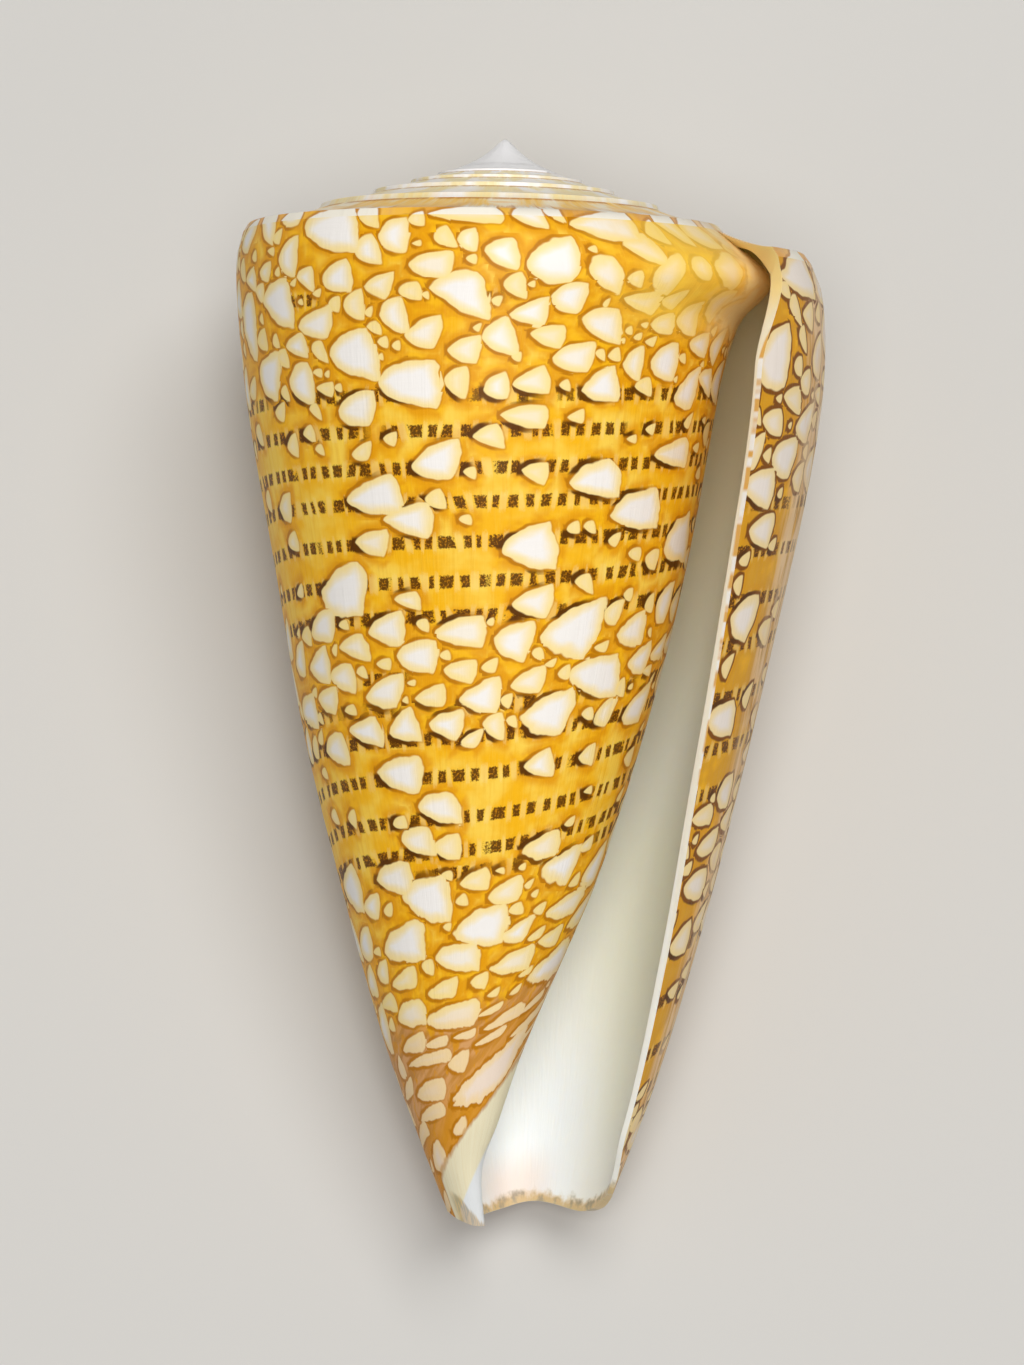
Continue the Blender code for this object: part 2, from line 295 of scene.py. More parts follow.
# The photograph that the markings' places were read from. Each view of the shell is given by its
# apex and its size, and the shell leans a little in the view of its front.
FRONT_APEX = (715.5, 437.0)
FRONT_MM_PER_PIXEL = 0.0744
FRONT_LEAN = 1.89  # degrees
BACK_APEX = (315.0, 78.0)
BACK_MM_PER_PIXEL = 0.0724

# Tents seen in each view as (centre x, centre y, width, height) in pixels of the photograph.
FRONT_TENTS = [
    (584, 517, 41, 41), (684, 509, 53, 17), (788, 517, 50, 28), (751, 542, 38, 38), (817, 534, 27, 25),
    (681, 570, 41, 39), (660, 547, 33, 23), (621, 561, 22, 23), (573, 586, 25, 27), (601, 611, 36, 41),
    (643, 634, 47, 39), (685, 609, 25, 23), (787, 592, 30, 28), (765, 614, 30, 25), (734, 631, 28, 23),
    (746, 600, 28, 19), (537, 625, 17, 37), (521, 586, 12, 53), (604, 651, 28, 27), (729, 659, 36, 20),
    (702, 672, 23, 20), (663, 689, 34, 31), (615, 714, 41, 33), (642, 734, 36, 28), (615, 751, 25, 23),
    (592, 784, 34, 44), (781, 703, 38, 33), (813, 725, 36, 33), (840, 682, 27, 25), (846, 745, 19, 41),
    (732, 753, 41, 38), (765, 814, 42, 47), (735, 795, 30, 27), (626, 814, 28, 27), (682, 817, 38, 25),
    (577, 811, 19, 28), (649, 836, 30, 28), (602, 829, 22, 23), (790, 554, 25, 31), (837, 551, 22, 34),
    (815, 573, 28, 19), (832, 587, 19, 19), (654, 595, 27, 25), (624, 860, 28, 27), (593, 852, 19, 25),
    (681, 847, 25, 20), (696, 864, 31, 30), (659, 864, 23, 20), (732, 852, 25, 23), (782, 852, 38, 36),
    (746, 878, 36, 36), (638, 886, 25, 28), (581, 869, 16, 23), (587, 905, 17, 27), (635, 925, 34, 30),
    (665, 949, 31, 27), (649, 974, 25, 25), (742, 977, 27, 22), (631, 1003, 27, 27), (656, 1019, 36, 39),
    (696, 1038, 41, 34), (637, 1050, 33, 33), (679, 1063, 34, 25), (720, 1066, 30, 22), (760, 1024, 25, 23),
    (715, 1010, 25, 22), (692, 1002, 23, 19), (749, 1069, 22, 34), (638, 1078, 20, 19), (668, 1085, 23, 17),
    (674, 1107, 41, 22), (643, 1105, 23, 23), (714, 1108, 28, 14), (658, 1166, 24, 18), (702, 1152, 46, 37),
    (659, 1183, 22, 14), (656, 1141, 34, 12), (645, 1129, 20, 17), (733, 1110, 17, 14), (729, 1124, 20, 9),
    (704, 1122, 22, 9), (684, 1121, 18, 9), (663, 1127, 18, 10), (704, 1101, 18, 8), (735, 1097, 14, 10),
    (641, 1165, 10, 14), (640, 1190, 10, 18), (652, 1202, 12, 14), (683, 1170, 16, 10),
]
LIP_TENTS = [
    (934, 545, 26, 42), (915, 611, 25, 53), (904, 711, 23, 34), (906, 742, 19, 28), (892, 808, 19, 37),
    (923, 687, 19, 32), (877, 883, 20, 32), (863, 955, 15, 20), (858, 1009, 16, 27), (881, 936, 11, 30),
    (923, 562, 9, 15), (932, 577, 8, 27), (914, 661, 16, 24), (930, 644, 14, 22), (893, 762, 8, 13),
    (888, 782, 7, 18), (880, 843, 8, 22), (868, 975, 14, 22), (863, 1032, 8, 24), (938, 597, 6, 22),
    (874, 988, 8, 24), (819, 1165, 6, 13), (813, 1180, 5, 13),
]
BACK_TENTS = [
    (153, 181, 48, 32), (171, 211, 33, 40), (139, 258, 38, 57), (236, 237, 54, 64), (254, 278, 35, 40),
    (209, 188, 35, 21), (285, 172, 57, 22), (168, 317, 32, 43), (99, 349, 22, 38), (313, 347, 46, 45),
    (429, 261, 38, 49), (462, 216, 29, 48), (397, 288, 29, 33), (321, 274, 29, 32), (375, 208, 30, 32),
    (405, 181, 32, 24), (330, 234, 24, 35), (330, 310, 30, 30), (177, 390, 30, 25), (156, 409, 30, 33),
    (376, 374, 33, 32), (399, 396, 35, 37), (408, 427, 30, 35), (386, 465, 41, 45), (250, 452, 32, 35),
    (222, 479, 37, 38), (161, 517, 33, 40), (187, 541, 32, 35), (163, 565, 29, 40), (166, 606, 30, 40),
    (196, 631, 33, 41), (265, 590, 35, 41), (309, 544, 38, 38), (332, 577, 43, 53), (376, 600, 35, 46),
    (400, 557, 27, 45), (203, 749, 35, 54), (238, 783, 38, 35), (227, 820, 35, 45), (271, 837, 45, 35),
    (220, 863, 29, 35), (314, 799, 32, 27), (321, 735, 27, 32), (346, 681, 29, 33),
]

# Smaller tents are strewn over these zones, as (nearest the apex, furthest, tries, smallest, largest), along
# a scale that grows with the whorl: its lines run round the shell with the dashed lines. Each zone is filled
# from its largest tents to its smallest.
TENT_ZONES = [
    (6.9, 20.0, 10500, 0.30, 1.4),
    (36.8, 45.2, 4600, 0.30, 1.35),
    (55.6, 66.0, 3600, 0.32, 1.4),
    (66.0, 82.0, 1500, 0.3, 1.0),
    (20.0, 36.8, 190, 0.4, 1.0),
    (45.2, 55.6, 90, 0.4, 1.0),
]
TENT_SEED = 11
TENT_REACH = 25.0  # degrees within which a face looks for its nearest tents
PATTERN_END = 475.0  # the angle inside the aperture where the markings stop
PATTERN_DRIFT = [(50, 1.015), (150, 1.0), (230, 0.98), (295, 0.97), (377, 1.0), (480, 1.0)]

# The edge of the columella's cream fold, as (depth, x).
FOLD_LINE = [(48, 5.4), (52.4, 2.36), (54.8, 0.73), (56.3, -0.33), (58.1, -1.39), (59.7, -1.79), (62, -1.8)]
FOLD_WIDTH = [(50, 1.6), (56.3, 1.7), (58.1, 1.9), (59.7, 1.65), (62, 0.9)]

# The places of the spire and the inside among the materials.
SPIRE_SLOT, INSIDE_SLOT = 1, 2
EDGE_STEP = 4.4  # degrees by which the outer side of an edge is told from its inner side

# The dashed lines, as (place on that scale, strength).
DASHED_LINES = [
    (13.4, 0.35), (20.5, 0.55), (23.1, 0.8), (25.8, 1.0), (28.3, 1.0), (31.2, 1.0), (34.1, 1.0), (36.6, 0.8),
    (41.0, 0.25), (43.3, 0.5), (45.6, 0.9), (48.4, 1.0), (51.5, 1.0), (54.0, 1.0), (55.6, 0.5), (60.0, 0.25),
]
DASH_PERIOD = 1.12
DASH_OFFSET = 37.7  # between one line's dashes and the next line's, so that they don't fall in columns
LINE_DEPTH = 0.87  # turns a line's place on the scale into a mean depth
FACES_AT_ONCE = 2000  # in the search for the nearest tents
FAR_AWAY = 9.0  # the place of a face without markings
CORNER_POWER = 1.55  # rounds the tents: 1 gives straight edges and 2 an ellipse's
FLAT_SLOPE = 0.02  # keeps the distance to a tent's edge finite at the tent's middle
TENT_BACK = 0.92  # where a tent's straight side is
BACK_BULGE = 0.22
CORNER_BLEND = 0.16
STREAK_RADIUS = 13.0  # turns an angle into a length for the growth lines

# Colours, from the photograph.
TENT_WHITE = (0.93, 0.895, 0.86)
TENT_CREAM = (0.96, 0.78, 0.45)
TENT_GLOW = (0.98, 0.75, 0.27)
TENT_PINK = (0.89, 0.64, 0.43)
# Also the brown of the painted shadow line along the columella fold's near edge.
BROWN_LINE_AND_SHADOW = (0.50, 0.185, 0.004)
CHOCOLATE = (0.095, 0.030, 0.002)
GOLD = (0.95, 0.490, 0.010)
PALE_GOLD = (0.99, 0.655, 0.085)
DEEP_GOLD = (0.83, 0.395, 0.006)
NET_ORANGE = (0.80, 0.335, 0.005)
LIP_OCHRE = (0.70, 0.32, 0.012)
LIP_BEIGE = (0.86, 0.61, 0.36)
LIP_DARK = (0.33, 0.165, 0.045)
LIP_LINE = (0.23, 0.075, 0.006)
LIP_EDGE = (0.86, 0.78, 0.60)
FRONT_END_BROWN = (0.54, 0.24, 0.055)
FRONT_END_PINK = (0.71, 0.37, 0.15)
FRONT_END_ORANGE = (0.70, 0.285, 0.012)
FOLD_CREAM = (0.88, 0.81, 0.58)
FOLD_SHADE = (0.80, 0.67, 0.40)
CALLUS_PEACH = (0.93, 0.66, 0.27)
CALLUS_PALE = (0.95, 0.74, 0.36)
APEX_CREAM = (0.88, 0.77, 0.46)
APEX_WHITE = (0.93, 0.925, 0.94)
SPIRE_WHITE = (0.95, 0.90, 0.78)
SPIRE_CREAM = (0.95, 0.84, 0.52)
SPIRE_FLAME = (0.50, 0.22, 0.020)
FOLD_WHITE = (0.80, 0.82, 0.83)
INSIDE_WHITE = (0.96, 0.94, 0.84)
INSIDE_YELLOW = (0.95, 0.92, 0.68)
INSIDE_COOL = (0.84, 0.88, 0.91)
# Painted shade: the darker tone high in the aperture's deep slit; also the faint tint of the inside's fine
# grain.
INSIDE_SHADE_AND_GRAIN = (0.99, 0.83, 0.57)
INSIDE_BLUSH = (0.82, 0.62, 0.52)
RIM_OCHRE = (0.58, 0.36, 0.09)
RIM_OLIVE = (0.27, 0.19, 0.07)
FLOOR_COLOUR = (0.62, 0.61, 0.59)

# The camera.
LENS = 150
SENSOR = 36
CAMERA_DISTANCE = 0.325  # metres
LOOK_AT = (1.4, -31.0, 0.0)  # in the shell's own frame, whose axis runs through the apex


def pattern_scale(angle):
    """The size of the pattern's own scale, by which its depths are divided: the lines follow it round."""
    return scale(angle) * along(PATTERN_DRIFT, angle)


def speed(angle, depth):
    """Millimetres along the surface for each degree, and how wide they look from the front."""
    step = side(angle + 0.5, depth) - side(angle - 0.5, depth)
    return abs(step), abs(step.real)


def angle_seen_at(x, depth, low, high):
    """The angle between low and high whose surface is at that x and depth."""
    rising = side(high, depth).real > side(low, depth).real
    for _ in range(24):
        middle = (low + high) / 2
        if (side(middle, depth).real < x) == rising:
            low = middle
        else:
            high = middle
    return (low + high) / 2


def tent(angle, grown_depth, half_width, half_height, rng, whiteness):
    """A tent: where it is, its size, and the shape of its curved side."""
    along_mm, _ = speed(angle, grown_depth * pattern_scale(angle))
    return {
        "angle": angle,
        "grown": grown_depth,
        "per_degree": along_mm,
        "half_width": half_width,
        "half_height": half_height,
        "bluntness": rng.uniform(1.5, 2.8),
        "bend": rng.uniform(-0.35, 0.35),
        "shear": rng.uniform(-0.3, 0.35),
        "whiteness": whiteness,
    }


def seen_tent(x, depth, width, height, low, high, rng):
    angle = angle_seen_at(x, depth, low, high)
    along_mm, wide = speed(angle, depth)
    half_width = width / 2 / max(wide / along_mm, 0.35)
    size = min(half_width, height / 2)
    whiteness = min(max(size / 1.05 - 0.3, 0.25), 1.0)
    return tent(angle, depth / pattern_scale(angle), half_width, height / 2, rng, whiteness)


def seen_tents(rng):
    """The tents read from the photograph."""
    tents = []
    lean_x, lean_y = math.sin(math.radians(FRONT_LEAN)), math.cos(math.radians(FRONT_LEAN))
    for seen, low, high in ((FRONT_TENTS, 272.0, 446.0), (LIP_TENTS, LIP_ANGLE, 89.0)):
        for x, y, width, height in seen:
            across = (x - FRONT_APEX[0]) * FRONT_MM_PER_PIXEL
            down = (y - FRONT_APEX[1]) * FRONT_MM_PER_PIXEL
            place_x, depth = across * lean_y + down * lean_x, down * lean_y - across * lean_x
            size = (width * FRONT_MM_PER_PIXEL, height * FRONT_MM_PER_PIXEL)
            tents.append(seen_tent(place_x, depth, *size, low, high, rng))
    for x, y, width, height in BACK_TENTS:
        place_x, depth = (BACK_APEX[0] - x) * BACK_MM_PER_PIXEL, (y - BACK_APEX[1]) * BACK_MM_PER_PIXEL
        size = (width * BACK_MM_PER_PIXEL, height * BACK_MM_PER_PIXEL)
        tents.append(seen_tent(place_x, depth, *size, 92.0, 268.0, rng))
    return tents


def tent_row(item):
    """What the test for room needs of a tent."""
    size = pattern_scale(item["angle"])
    return item["angle"], item["grown"], item["per_degree"], item["half_width"], item["half_height"], size


def has_room(new, placed):
    angle, grown, per_degree, half_width, half_height, size = placed.T
    across = (new["angle"] - angle) * per_degree / (new["half_width"] + half_width)
    down = (new["grown"] - grown) * size / (new["half_height"] + half_height)
    return bool(np.all(across**2 + down**2 >= 1.0))


def strewn_tents(tents, rng):
    """More tents between the given ones, the largest first."""
    tents = list(tents)
    placed = np.array([tent_row(item) for item in tents])
    for near, far, tries, smallest, largest in TENT_ZONES:
        for attempt in range(tries):
            size = largest + (smallest - largest) * (attempt / tries) ** 0.55
            angle = rng.uniform(LIP_ANGLE - 4, PATTERN_END)
            grown = rng.uniform(near, far)
            half_width = size * rng.uniform(0.8, 1.2) * scale(angle) ** 0.5
            half_height = size * rng.uniform(0.85, 1.25) * scale(angle) ** 0.5
            whiteness = min(max(size - 0.35 + rng.uniform(-0.3, 0.3), 0.15), 1.0)
            new = tent(angle, grown, half_width, half_height, rng, whiteness)
            if has_room(new, placed):
                tents.append(new)
                placed = np.vstack((placed, tent_row(new)))
    return tents


def shell_grid():
    """Points by (name, column, row), for the outside and for the hollow.

    A suture's points belong to the older whorl's side too, so a face keeps its own key for each corner."""
    points = {}
    last_column = WHORLS * COLUMNS
    for column in reversed(range(last_column + 1)):
        inside = column > COLUMNS + CAVITY_COLUMNS
        for row in range((SUTURE_ROW if inside else LAST_ROW) + 1):
            shared = row == 0 and column + COLUMNS <= last_column
            source = points["out", column + COLUMNS, SUTURE_ROW] if shared else None
            points["out", column, row] = source if shared else outer_point(column, row)
    start, end = points["out", last_column, 0], points["out", last_column - COLUMNS, 0]
    for row in range(1, SUTURE_ROW):
        points["out", last_column, row] = start.lerp(end, row / SUTURE_ROW)
    for column in range(CAVITY_COLUMNS + 1):
        roof = points["out", column + COLUMNS, ROOF_ROW]
        points["in", column, 0] = roof
        for row in range(1, LAST_ROW + 1):
            points["in", column, row] = inner_point(column, row, roof)
    return points


def block(name, columns, rows):
    return [
        ((name, column, row), (name, column + 1, row), (name, column + 1, row + 1), (name, column, row + 1))
        for column in columns
        for row in rows
    ]


def apex_faces(points):
    """Adds the rings of the spire's point, and returns their faces."""
    last = WHORLS * COLUMNS
    loop = [("out", column, 0) for column in range(last - COLUMNS, last + 1)]
    step = [("out", last, row) for row in range(1, SUTURE_ROW)]
    heights = [points[key].y + spire_depth(math.hypot(points[key].x, points[key].z)) for key in loop]
    settle = sum(heights) / len(loop)
    outermost = math.hypot(points[loop[0]].x, points[loop[0]].z)
    faces = []
    for number, radius in enumerate(APEX_RING_RADII):
        height = settle * radius / outermost - spire_depth(radius)
        ring = [("tip", k, number) for k in range(COLUMNS)]
        for key in ring:
            way = heading(LIP_ANGLE - lean(GROWTH) + (key[1] + 0.5) * 360 / COLUMNS)
            points[key] = Vector((radius * way.real, height, radius * way.imag))
        for k in range(COLUMNS):
            faces.append((loop[k], loop[(k + 1) % len(loop)], ring[(k + 1) % COLUMNS], ring[k]))
        chain = [loop[-1]] + step + [loop[0]] if step else []
        faces += [(a, b, ring[0]) for a, b in zip(chain, chain[1:])]
        step = []
        loop = ring
    points["tip", 0, -1] = Vector((0, 0, 0))
    faces += [(key, loop[(k + 1) % COLUMNS], ("tip", 0, -1)) for k, key in enumerate(loop)]
    return faces


def edge_faces():
    """The lip's edge, the hollow's far end, the rim round the canal and the columella's end."""
    faces = []
    for row in range(LAST_ROW):
        faces.append((("out", 0, row), ("out", 0, row + 1), ("in", 0, row + 1), ("in", 0, row)))
    older = COLUMNS + CAVITY_COLUMNS
    for row in range(1, LAST_ROW):
        inner = (("in", CAVITY_COLUMNS, row), ("in", CAVITY_COLUMNS, row + 1))
        beside = (("out", older, row + 1),) if row >= ROOF_ROW else ()
        faces.append((("out", older, max(row, ROOF_ROW)), *inner, *beside))
    for column in range(CAVITY_COLUMNS):
        outer = (("out", column, LAST_ROW), ("out", column + 1, LAST_ROW))
        faces.append((*outer, ("in", column + 1, LAST_ROW), ("in", column, LAST_ROW)))
    around = [("out", column, LAST_ROW) for column in range(CAVITY_COLUMNS, older + 1)]
    faces.append((*around, ("in", CAVITY_COLUMNS, LAST_ROW)))
    return faces


def fold_place(angle, depth):
    """0 at the near edge of the columella's cream fold, 1 at its far edge, and negative away from it."""
    past = (side(angle, depth).real - along(FOLD_LINE, depth)) / along(FOLD_WIDTH, depth)
    return min(past, depth - 50, (angle - 300) * 0.05)


def surface_place(key, slot):
    """(angle, depth, third) of a grid key. The outside's depths are the pattern's own, and its third is the
    place on the columella's fold, or how far across the ramp. The inside's third is its distance to the
    front end."""
    name, column, row = key
    if slot == INSIDE_SLOT:
        angle = column_angle(column, max(row, SUTURE_ROW))
        depth = row_depth(angle, max(row, SUTURE_ROW))
        return angle - (EDGE_STEP if name == "out" else 0), depth, along(END_DEPTH, angle) - depth
    if name == "tip":
        return LIP_ANGLE + WHORLS * 360 + column * 360 / COLUMNS, 0.0, 0.5
    if row >= SUTURE_ROW:
        angle = column_angle(column, row)
        depth = row_depth(angle, row)
        third = 1.0 if slot == SPIRE_SLOT else fold_place(angle, depth)
        return angle, depth / pattern_scale(angle), third
    across = RAMP_PARTS[row - 1] if row else 0.0
    angle = column_angle(column, row)
    return angle, rim(angle)[1] / pattern_scale(angle), across


def tent_places(tents, which, angles, growns):
    """Corner places in the tents' own frames: 1 at the curved side's nose, and 1 at the apex's side."""
    per_degree, half_width = tents["per_degree"][which], tents["half_width"][which]
    down = (tents["grown"][which] - growns) * tents["scale"][which]
    across = (tents["angle"][which] - angles) * per_degree - tents["shear"][which] * down
    return across / half_width, down / tents["half_height"][which]


def tent_distance(tents, which, a, b):
    """About how far outside the tents the places are."""
    t = np.clip((a + 1) / 2, 0, None)
    bulge = np.abs(b - tents["bend"][which] * t) ** CORNER_POWER + t ** tents["bluntness"][which] - 1
    curved = bulge * tents["half_height"][which] * 0.6
    straight = (-a - 1) * tents["half_width"][which]
    nose = (a - 1) * tents["half_width"][which]
    return np.maximum(np.maximum(curved, straight), nose)


def set_corners(mesh, name, values):
    attribute = mesh.attributes.new(name, "FLOAT_VECTOR", "CORNER")
    attribute.data.foreach_set("vector", np.ascontiguousarray(values, dtype=np.float32).ravel())


def all_tents():
    """The seen and the strewn tents, as one array for each of their values."""
    rng = random.Random(TENT_SEED)
    listed = strewn_tents(seen_tents(rng), rng)
    tents = {name: np.array([item[name] for item in listed]) for name in listed[0]}
    tents["scale"] = np.array([pattern_scale(angle) for angle in tents["angle"]])
    return tents


def nearest_tents(tents, middles, patterned):
    """The two tents nearest to each face's middle."""
    nearest = np.zeros((len(middles), 2), dtype=int)
    chosen = np.flatnonzero(patterned)
    for part in np.array_split(chosen, max(1, len(chosen) // FACES_AT_ONCE)):
        angles, growns = middles[part, 0], middles[part, 1]
        low, high = min(angles.min(), PATTERN_END) - TENT_REACH, angles.max() + TENT_REACH
        near = np.flatnonzero((tents["angle"] > low) & (tents["angle"] < high))[None, :]
        a, b = tent_places(tents, near, angles[:, None], growns[:, None])
        distance = tent_distance(tents, near, a, b)
        nearest[part] = near[0][np.argpartition(distance, 1, axis=1)[:, :2]]
    return nearest


def dash_places(places, middles, face_of, hidden):
    """How far along and how far off its nearest dashed line each corner is, and the line's strength."""
    lines = np.array(DASHED_LINES)
    line = np.abs(middles[:, 1][:, None] - lines[:, 0][None, :]).argmin(axis=1)[face_of]
    line_radius = np.array([(along(LIP_SIDE, d) + along(FAR_SIDE, d)) / 2 for d in lines[:, 0] * LINE_DEPTH])
    run = np.radians(places[:, 0]) * line_radius[line]
    off_line = (lines[line, 0] - places[:, 1]) * np.exp(-GROWTH * np.radians(places[:, 0] - LIP_ANGLE))
    off_line[hidden] = FAR_AWAY
    return np.stack((run + line * DASH_OFFSET, off_line, lines[line, 1]), 1)


def mark(mesh, faces, slots, patterned):
    """Writes each corner's place on the shell and its place relative to the markings."""
    places = np.array([surface_place(key, slot) for face, slot in zip(faces, slots) for key in face])
    sizes = np.array([len(face) for face in faces])
    starts = np.concatenate(([0], np.cumsum(sizes)[:-1]))
    face_of = np.repeat(np.arange(len(faces)), sizes)
    middles = np.add.reduceat(places, starts) / sizes[:, None]
    tents = all_tents()
    nearest = nearest_tents(tents, middles, patterned)
    hidden = ~patterned[face_of]
    for number, name in enumerate(("tent", "other_tent")):
        which = nearest[face_of, number]
        a, b = tent_places(tents, which, places[:, 0], places[:, 1])
        a[hidden], b[hidden] = FAR_AWAY, FAR_AWAY
        set_corners(mesh, name, np.stack((a, b, tents["half_height"][which]), 1))
        form = (tents["half_width"][which], tents["bluntness"][which], tents["bend"][which])
        set_corners(mesh, name + "_form", np.stack(form, 1))
        whites = np.stack((tents["whiteness"][which],) * 3, 1)
        set_corners(mesh, name + "_white", whites)
    set_corners(mesh, "dash", dash_places(places, middles, face_of, hidden))
    flow = np.stack((np.radians(places[:, 0] - LIP_ANGLE) * STREAK_RADIUS, places[:, 1], places[:, 2]), 1)
    set_corners(mesh, "flow", flow)


def shell_blocks(points):
    """The shell's faces in blocks, each with its material and whether the tents and lines are drawn on it."""
    return [
        (block("out", range(COLUMNS), range(SUTURE_ROW, LAST_ROW)), 0, True),
        (block("out", range(COLUMNS, COLUMNS + CAVITY_COLUMNS), range(ROOF_ROW, LAST_ROW)), 0, True),
        (block("out", range(COLUMNS), range(SUTURE_ROW)), SPIRE_SLOT, True),
        (block("out", range(COLUMNS, WHORLS * COLUMNS), range(SUTURE_ROW)), SPIRE_SLOT, False),
        (apex_faces(points), SPIRE_SLOT, False),
        (block("in", range(CAVITY_COLUMNS), range(LAST_ROW)), INSIDE_SLOT, False),
        (edge_faces(), INSIDE_SLOT, False),
    ]


def welded(points, faces):
    """The vertices, one for each point however many keys it has, and the vertex of each key."""
    seated = seat()
    index, vertices, seen = {}, [], {}
    for key in dict.fromkeys(key for face in faces for key in face):
        identity = id(points[key])
        if identity not in seen:
            seen[identity] = len(vertices)
            vertices.append(seated @ points[key] * MM)
        index[key] = seen[identity]
    return vertices, index


def make_shell():
    points = shell_grid()
    blocks = shell_blocks(points)
    faces = [face for part, _, _ in blocks for face in part]
    slots = [slot for part, slot, _ in blocks for _ in part]
    patterned = np.array([pattern for part, _, pattern in blocks for _ in part])
    vertices, index = welded(points, faces)
    for vertex in vertices:
        vertex.z = max(vertex.z, 0.0)
    mesh = bpy.data.meshes.new("cone_shell")
    mesh.from_pydata(vertices, [], [[index[key] for key in face] for face in faces])
    mesh.polygons.foreach_set("material_index", slots)
    mark(mesh, faces, slots, patterned)
    shell = bpy.data.objects.new("cone_shell", mesh)
    bpy.context.scene.collection.objects.link(shell)
    mesh.shade_smooth()
    mesh.set_sharp_from_angle(angle=math.radians(50))
    if signed_volume(mesh) < 0:
        mesh.flip_normals()
    return shell


def signed_volume(mesh):
    mesh.calc_loop_triangles()
    total = 0.0
    for triangle in mesh.loop_triangles:
        a, b, c = (mesh.vertices[k].co for k in triangle.vertices)
        total += a.dot(b.cross(c))
    return total


class Nodes:
    """Short names for the nodes that the materials need."""

    def __init__(self, name):
        self.material = bpy.data.materials.new(name)
        self.material.use_nodes = True
        self.tree = self.material.node_tree
        self.shader = self.tree.nodes["Principled BSDF"]

    def put(self, socket, value):
        if isinstance(value, bpy.types.NodeSocket):
            self.tree.links.new(value, socket)
        elif isinstance(value, tuple) and len(value) == 3 and socket.type == "RGBA":
            socket.default_value = (*value, 1.0)
        else:
            socket.default_value = value

    def math(self, operation, a, b=0.0, c=0.0, clamp=False):
        node = self.tree.nodes.new("ShaderNodeMath")
        node.operation = operation
        node.use_clamp = clamp
        for socket, value in zip(node.inputs, (a, b, c)):
            self.put(socket, value)
        return node.outputs[0]

    def attribute(self, name):
        node = self.tree.nodes.new("ShaderNodeAttribute")
        node.attribute_name = name
        return node.outputs["Vector"]

    def parts(self, vector):
        node = self.tree.nodes.new("ShaderNodeSeparateXYZ")
        self.put(node.inputs[0], vector)
        return node.outputs[0], node.outputs[1], node.outputs[2]

    def vector(self, x, y, z=0.0):
        node = self.tree.nodes.new("ShaderNodeCombineXYZ")
        for socket, value in zip(node.inputs, (x, y, z)):
            self.put(socket, value)
        return node.outputs[0]

    def noise(self, vector, size, detail=2.0, roughness=0.5):
        node = self.tree.nodes.new("ShaderNodeTexNoise")
        self.put(node.inputs["Vector"], vector)
        node.inputs["Scale"].default_value = size
        node.inputs["Detail"].default_value = detail
        node.inputs["Roughness"].default_value = roughness
        return node.outputs["Fac"]

    def stretched_noise(self, x, y, by_x, by_y, seed=0.0, detail=2.0, roughness=0.5):
        """Noise on a place whose two directions are scaled."""
        place_there = self.vector(self.math("MULTIPLY", x, by_x), self.math("MULTIPLY", y, by_y), seed)
        return self.noise(place_there, 1.0, detail, roughness)

    def linear(self, value, slope, offset, clamp=False):
        return self.math("MULTIPLY_ADD", value, slope, offset, clamp)

    def sum(self, a, b):
        return self.math("ADD", a, b)

    def minus(self, a, b):
        return self.math("SUBTRACT", a, b)

    def product(self, *values):
        result = values[0]
        for value in values[1:]:
            result = self.math("MULTIPLY", result, value)
        return result

    def choose(self, first, one, other):
        """The one where first is 1, and the other where it is 0."""
        return self.linear(first, self.minus(one, other), other)

    def step(self, value, low, high):
        """0 below low, 1 above high and smooth between, or the other way round where low is above high."""
        node = self.tree.nodes.new("ShaderNodeMapRange")
        node.interpolation_type = "SMOOTHSTEP"
        falling = isinstance(low, float) and isinstance(high, float) and low > high
        bounds = (high, low, 1.0, 0.0) if falling else (low, high, 0.0, 1.0)
        self.put(node.inputs["Value"], value)
        for name, bound in zip(("From Min", "From Max", "To Min", "To Max"), bounds):
            self.put(node.inputs[name], bound)
        return node.outputs["Result"]

    def mix(self, factor, a, b):
        node = self.tree.nodes.new("ShaderNodeMix")
        node.data_type = "RGBA"
        colour_inputs = [socket for socket in node.inputs if socket.type == "RGBA"]
        self.put(node.inputs["Factor"], factor)
        self.put(colour_inputs[0], a)
        self.put(colour_inputs[1], b)
        return [socket for socket in node.outputs if socket.type == "RGBA"][0]

    def tint(self, colour, other, *factors):
        """The colour with the other laid over it, as strong as the factors' product."""
        return self.mix(self.product(*factors), colour, other)

    def result(self, colour, roughness, specular, coat, settings=()):
        """The material, with its colour, its gloss and any more of the shader's own values set."""
        self.put(self.shader.inputs["Base Color"], colour)
        gloss = (("Roughness", roughness), ("Specular IOR Level", specular), ("Coat Weight", coat))
        for name, value in (*gloss, ("Coat Roughness", 0.25), *settings):
            self.shader.inputs[name].default_value = value
        return self.material

    def bump(self, height, distance, strength=1.0):
        node = self.tree.nodes.new("ShaderNodeBump")
        node.inputs["Strength"].default_value = strength
        node.inputs["Distance"].default_value = distance
        self.put(node.inputs["Height"], height)
        self.put(self.shader.inputs["Normal"], node.outputs["Normal"])


